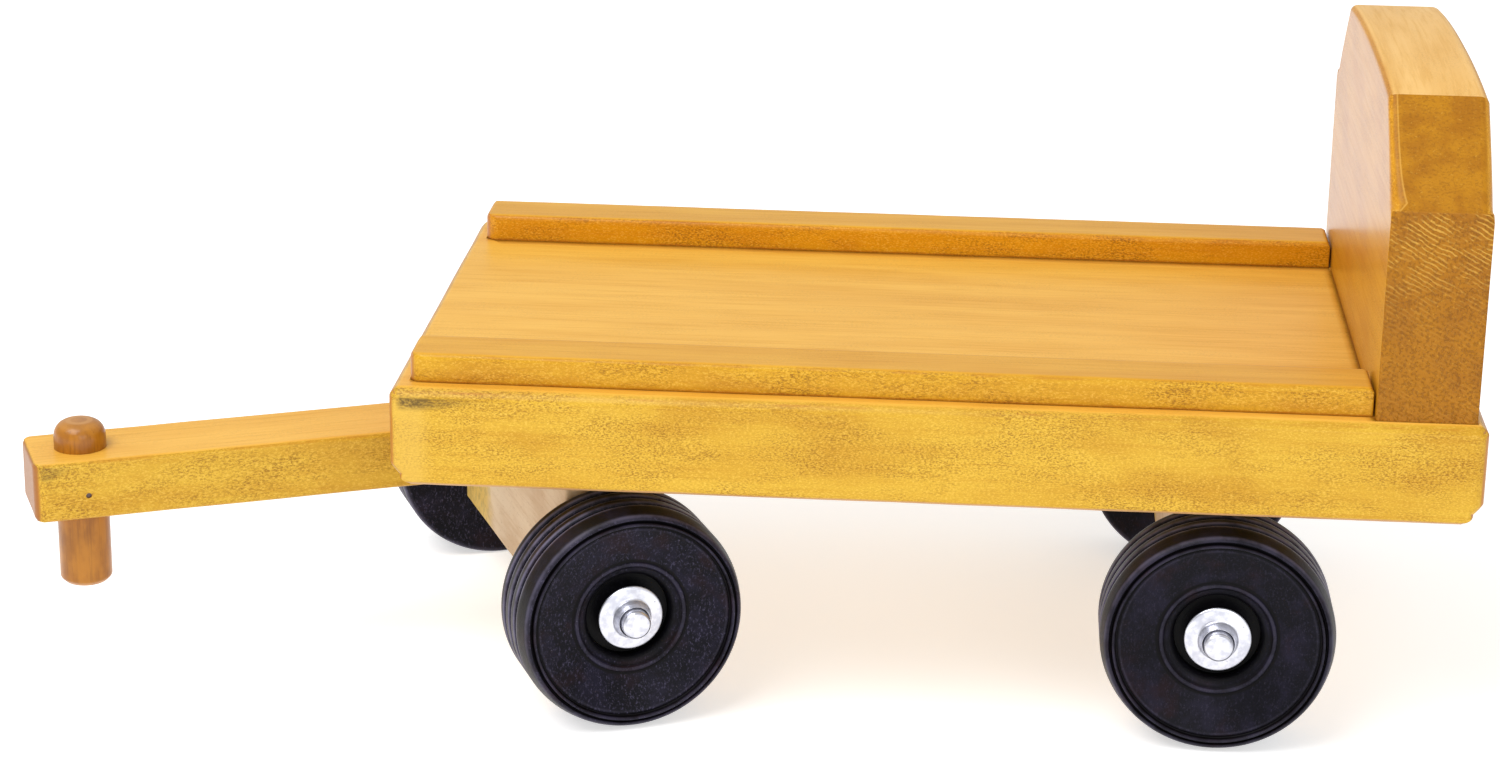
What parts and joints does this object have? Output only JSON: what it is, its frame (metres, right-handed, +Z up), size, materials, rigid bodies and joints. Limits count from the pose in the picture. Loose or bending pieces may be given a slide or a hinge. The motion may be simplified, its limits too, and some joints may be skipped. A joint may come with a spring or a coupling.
{
  "type": "wooden toy wagon with pull bar",
  "caption": "Flat wooden toy wagon: railed deck with a tall rounded backboard, turned black wheels, and a steered pull bar ending in an upright hitch peg.",
  "frame": {"origin": "on the floor under the middle of the whole wagon's footprint, with the front carriage turned 23.1 degrees to the wagon's left as stored", "axes": "+Z up; -X is the way the wagon is pulled, towards the pull bar; -Y is the wagon's left side, +X is towards the backboard"},
  "size_m": [0.319, 0.1433, 0.1447],
  "materials": {
    "stained_wood": "amber stain under satin lacquer",
    "raw_wood": "bare sanded hardwood",
    "peg_wood": "satin lacquered dowel",
    "black_wood": "black dye under satin lacquer",
    "steel": "bright zinc-plated steel",
    "nylon": "natural nylon"
  },
  "bodies": {
    "wagon_body": {"deck_board": "stained_wood", "left_side_rail": "stained_wood", "right_side_rail": "stained_wood", "backboard": "stained_wood", "backboard_screws": "steel", "rear_axle_block": "raw_wood", "rear_block_dowels": "peg_wood", "rear_axle_rod": "steel", "kingpin_screw": "steel", "kingpin_washer": "steel", "rear_left_washer": "steel", "rear_right_washer": "steel", "rear_left_push_nut": "steel", "rear_right_push_nut": "steel"},
    "front_carriage": {"front_axle_block": "raw_wood", "front_axle_rod": "steel", "drawbar": "stained_wood", "drawbar_screws": "steel", "hitch_peg": "peg_wood", "peg_brad": "steel", "steering_washer": "nylon", "front_left_washer": "steel", "front_right_washer": "steel", "front_left_push_nut": "steel", "front_right_push_nut": "steel"},
    "front_left_wheel": {"front_left_wheel": "black_wood"},
    "front_right_wheel": {"front_right_wheel": "black_wood"},
    "rear_left_wheel": {"rear_left_wheel": "black_wood"},
    "rear_right_wheel": {"rear_right_wheel": "black_wood"}
  },
  "joints": [
    {"name": "steering", "type": "hinge", "parent": "wagon_body", "child": "front_carriage", "pos_m": [-0.03086, 0.00406, 0.0476], "axis": [0, 0, 1], "range_deg": [-163.1, 116.9]},
    {"name": "front_left_wheel_spin", "type": "hinge", "parent": "front_carriage", "child": "front_left_wheel", "pos_m": [-0.02341, -0.05419, 0.0254], "axis": [0.3923, -0.9198, 0], "continuous": true},
    {"name": "front_right_wheel_spin", "type": "hinge", "parent": "front_carriage", "child": "front_right_wheel", "pos_m": [-0.06775, 0.04975, 0.0254], "axis": [0.3923, -0.9198, 0], "continuous": true},
    {"name": "rear_left_wheel_spin", "type": "hinge", "parent": "wagon_body", "child": "rear_left_wheel", "pos_m": [0.10594, -0.05244, 0.0254], "axis": [0, -1, 0], "continuous": true},
    {"name": "rear_right_wheel_spin", "type": "hinge", "parent": "wagon_body", "child": "rear_right_wheel", "pos_m": [0.10594, 0.06056, 0.0254], "axis": [0, -1, 0], "continuous": true}
  ]
}
